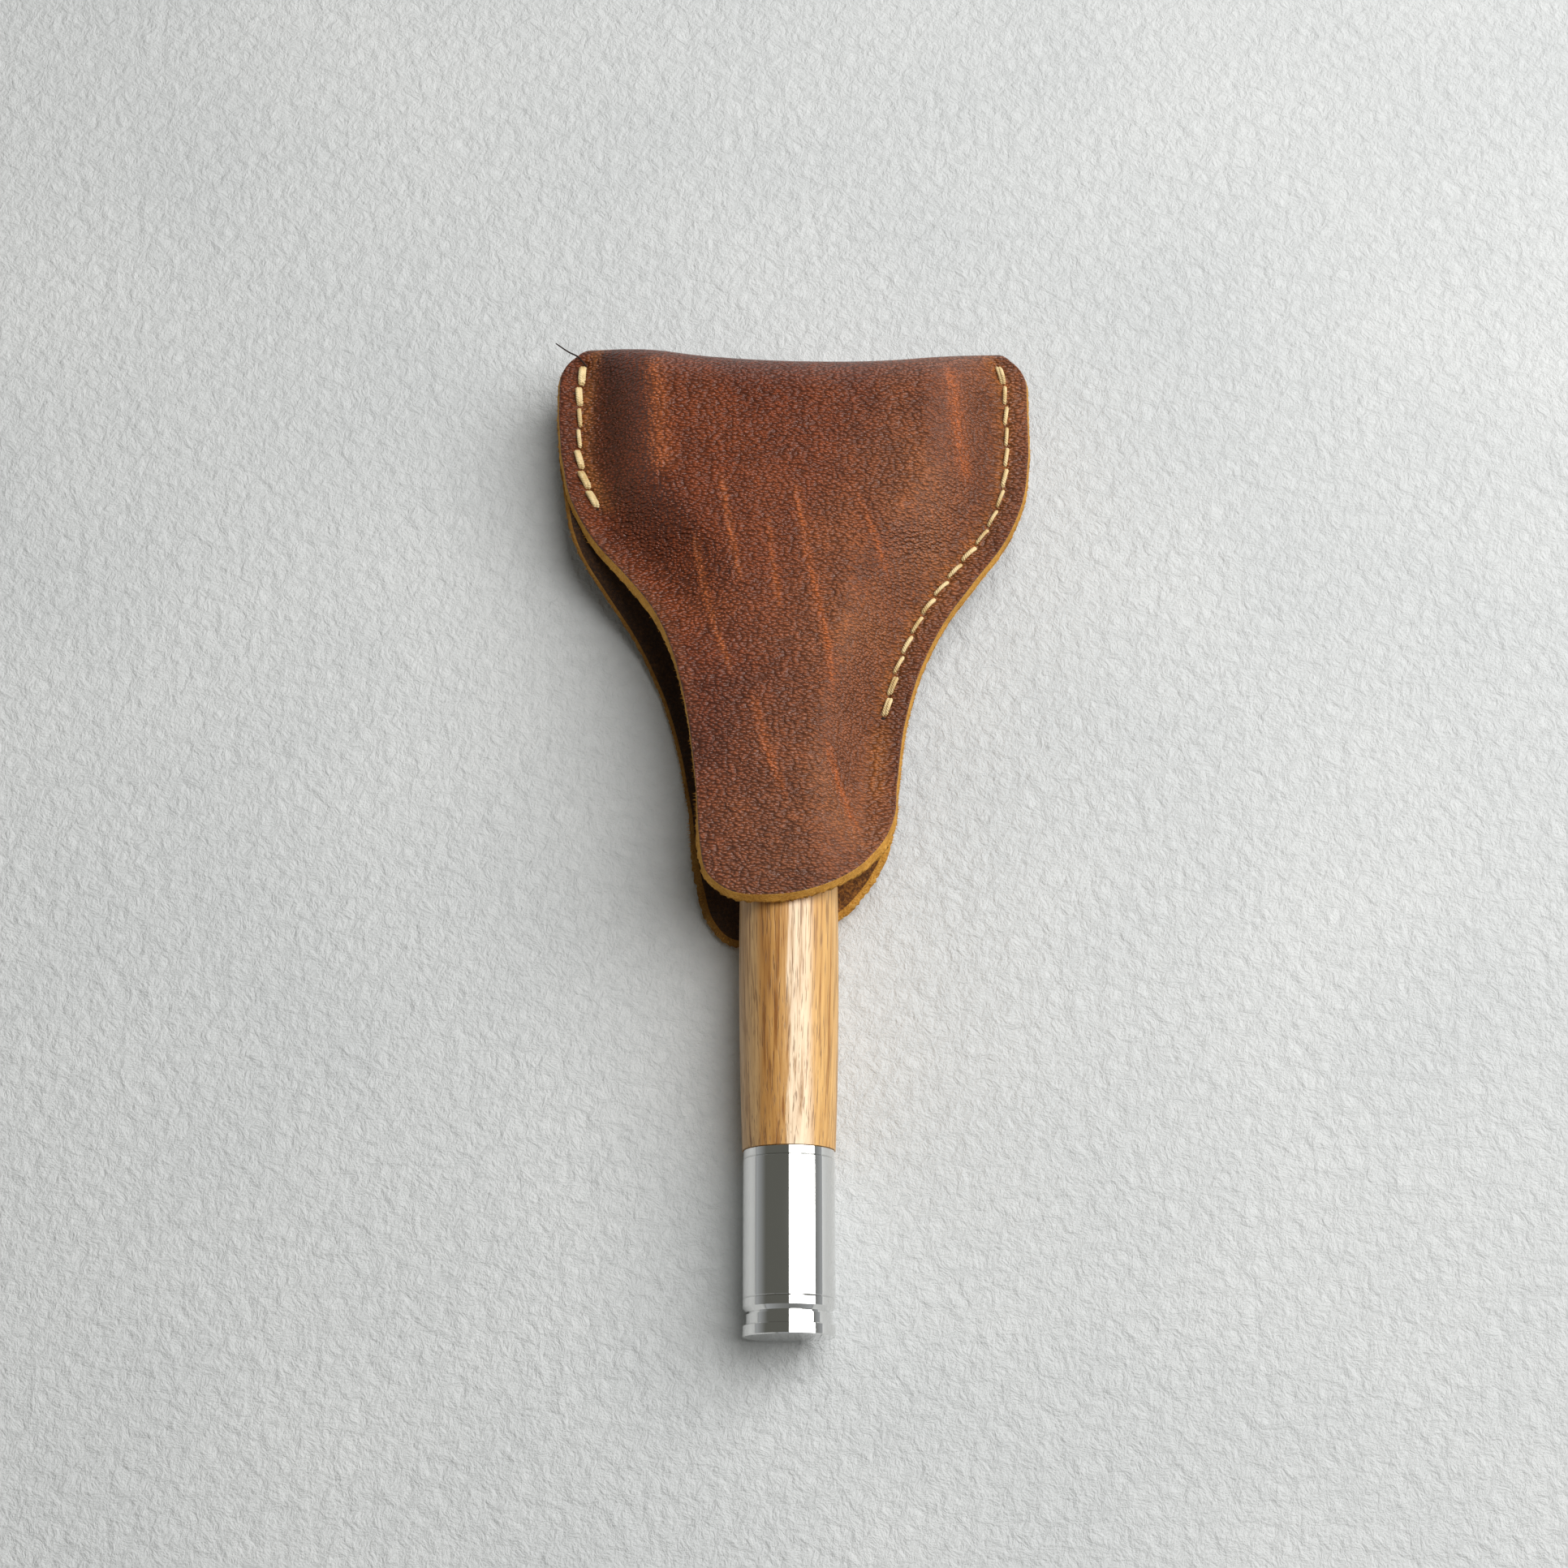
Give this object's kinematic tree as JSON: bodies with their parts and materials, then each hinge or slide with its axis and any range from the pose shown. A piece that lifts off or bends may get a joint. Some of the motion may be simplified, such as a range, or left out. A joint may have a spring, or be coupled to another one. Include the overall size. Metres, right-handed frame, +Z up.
{
  "type": "razor in a leather travel sheath",
  "caption": "T-shaped folded leather sheath, stitched down its sides, holding a cartridge razor with a turned wooden handle and a grooved metal end cap.",
  "frame": {"origin": "on the table, under the middle of the whole object's box, with the sheath's mid-line at X = 0", "axes": "+Y from the handle's end to the fold of the sheath, +Z up from the table through the front panel, +X to the right of someone looking down at the front with the fold away from them"},
  "size_m": [0.0676, 0.1396, 0.0174],
  "materials": {
    "leather": "pebbled dark red-brown, semi-gloss",
    "thread": "waxed cream thread",
    "chromed_metal": "polished",
    "oak": "oiled, satin",
    "brass": "plain",
    "dark_moulding": "matte",
    "grey_moulding": "matte",
    "spring_wire": "drawn wire",
    "blade_steel": "ground",
    "guard_rubber": "matte",
    "soap_strip": "waxy"
  },
  "bodies": {
    "sheath": {"sheath_leather": "leather", "left_seam_thread": "thread", "right_seam_thread": "thread"},
    "razor": {"end_cap": "chromed_metal", "lower_sleeve": "chromed_metal", "trim_ring": "chromed_metal", "wood_barrel": "oak", "brass_tube": "brass", "neck_ferrule": "chromed_metal", "head_block": "dark_moulding", "cartridge_hub": "grey_moulding", "plunger_spring": "spring_wire"},
    "plunger": {"plunger": "grey_moulding"},
    "release_button": {"release_button": "grey_moulding"},
    "cartridge": {"cartridge_frame": "dark_moulding", "blade_1": "blade_steel", "blade_2": "blade_steel", "blade_3": "blade_steel", "guard_strip": "guard_rubber", "lubricating_strip": "soap_strip", "left_clip": "blade_steel", "right_clip": "blade_steel"}
  },
  "joints": [
    {"name": "razor_swing", "type": "hinge", "parent": "sheath", "child": "razor", "pos_m": [-0.064, 0.062, 0], "axis": [0, 0, -1], "range_deg": [0, 75]},
    {"name": "cartridge_pivot", "type": "hinge", "parent": "razor", "child": "cartridge", "pos_m": [-0.0006, 0.0555, 0.0054], "axis": [-1, 0, 0], "range_deg": [-12, 20], "stiffness_Nm_per_rad": 0.02},
    {"name": "plunger_slide", "type": "slide", "parent": "razor", "child": "plunger", "axis": [0, 1, 0], "range_m": [-0.0009, 0.0014], "deforming": ["plunger_spring"]},
    {"name": "button_slide", "type": "slide", "parent": "razor", "child": "release_button", "axis": [0, 0.9699, -0.2434], "range_m": [0, 0.0025], "stiffness_N_per_m": 300}
  ],
  "couplings": [
    {"joint": "plunger_slide", "follows": "cartridge_pivot", "m_per_rad": 0.0035}
  ]
}
